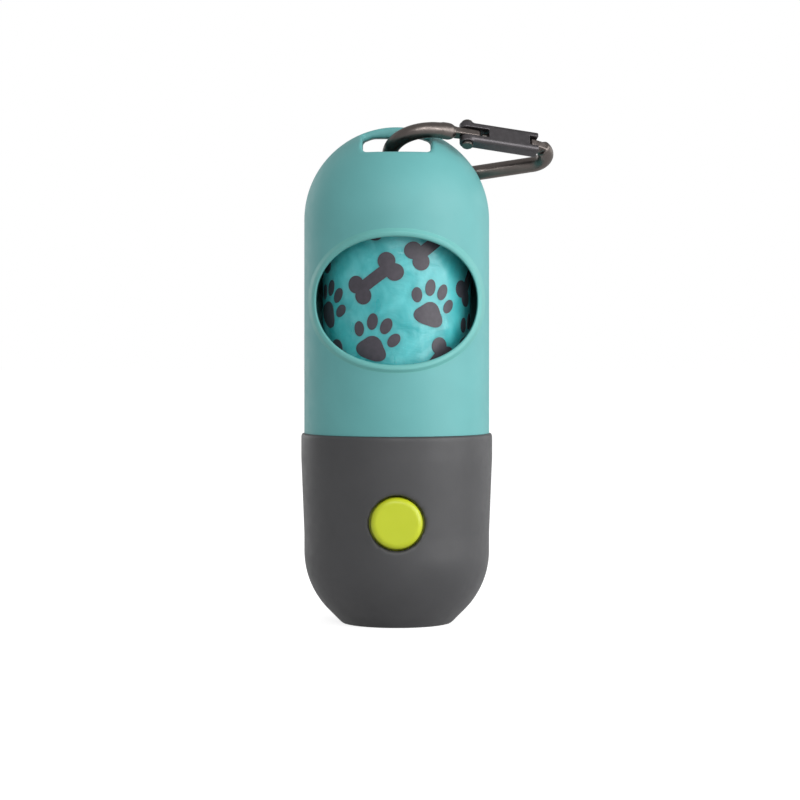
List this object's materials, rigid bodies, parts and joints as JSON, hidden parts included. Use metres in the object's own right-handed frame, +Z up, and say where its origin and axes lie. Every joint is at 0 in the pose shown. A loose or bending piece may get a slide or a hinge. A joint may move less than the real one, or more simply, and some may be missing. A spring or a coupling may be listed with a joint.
{
  "type": "dog poop bag dispenser",
  "caption": "Capsule-shaped bag dispenser with an oval window over a roll of bags, a push-button flashlight in its lower cup and a small spring-gate carabiner under a strap in its dome.",
  "frame": {"origin": "centre of the flat ring that the dispenser stands on, on the capsule axis", "axes": "+Z up along the capsule axis; -Y is the front, with the window and the push button; the carabiner lies towards +X"},
  "size_m": [0.0581, 0.044, 0.1153],
  "materials": {
    "shell_teal": "satin",
    "cup_grey": "satin",
    "seat_grey": "matte",
    "holder_black": "matte",
    "button_lime": "satin",
    "bag_film": "satin",
    "core_board": "matte",
    "clip_gunmetal": "satin",
    "rivet_steel": "satin",
    "steel": "satin",
    "contact_brass": "satin",
    "board_green": "satin",
    "led_epoxy": "gloss",
    "mirror_chrome": "polished",
    "lens_clear": "clear",
    "seal_rubber": "matte",
    "switch_black": "matte",
    "plunger_white": "matte"
  },
  "bodies": {
    "flashlight": {"flashlight_cup": "cup_grey", "roll_seat": "seat_grey", "battery_door": "seat_grey", "door_screws": "steel", "contact_plate": "contact_brass", "cell_1": "steel", "cell_2": "steel", "cell_3": "steel", "contact_spring": "contact_brass", "battery_holder": "holder_black", "contact_strip": "contact_brass", "lamp_board": "board_green", "board_screws": "steel", "led": "led_epoxy", "reflector": "mirror_chrome", "lens": "lens_clear", "lens_seal": "seal_rubber", "switch_body": "switch_black", "switch_board": "board_green"},
    "shell": {"top_shell": "shell_teal"},
    "roll": {"bag_roll": "bag_film", "roll_core": "core_board"},
    "button": {"button_cap": "button_lime", "switch_plunger": "plunger_white"},
    "carabiner": {"carabiner_body": "clip_gunmetal"},
    "gate": {"gate": "clip_gunmetal", "gate_pin": "rivet_steel", "gate_spring": "steel", "gate_plunger": "rivet_steel"}
  },
  "joints": [
    {"name": "shell_lift", "type": "slide", "parent": "flashlight", "child": "shell", "axis": [0, 0, 1], "range_m": [0, 0.06]},
    {"name": "roll_spin", "type": "hinge", "parent": "flashlight", "child": "roll", "pos_m": [0, 0, 0.042], "axis": [0, 0, 1], "continuous": true},
    {"name": "button_press", "type": "slide", "parent": "flashlight", "child": "button", "axis": [0, 1, 0], "range_m": [0, 0.0008], "stiffness_N_per_m": 800, "springref_m": -0.0008},
    {"name": "clip_swing", "type": "hinge", "parent": "shell", "child": "carabiner", "pos_m": [-0.0012, -0.001, 0.10765], "axis": [0, -0.8526, 0.5225], "range_deg": [0, 150]},
    {"name": "gate_open", "type": "hinge", "parent": "carabiner", "child": "gate", "pos_m": [0.01605, -0.00786, 0.11185], "axis": [0, 0.5225, 0.8526], "range_deg": [0, 16], "stiffness_Nm_per_rad": 0.03, "springref_deg": -20.05}
  ]
}
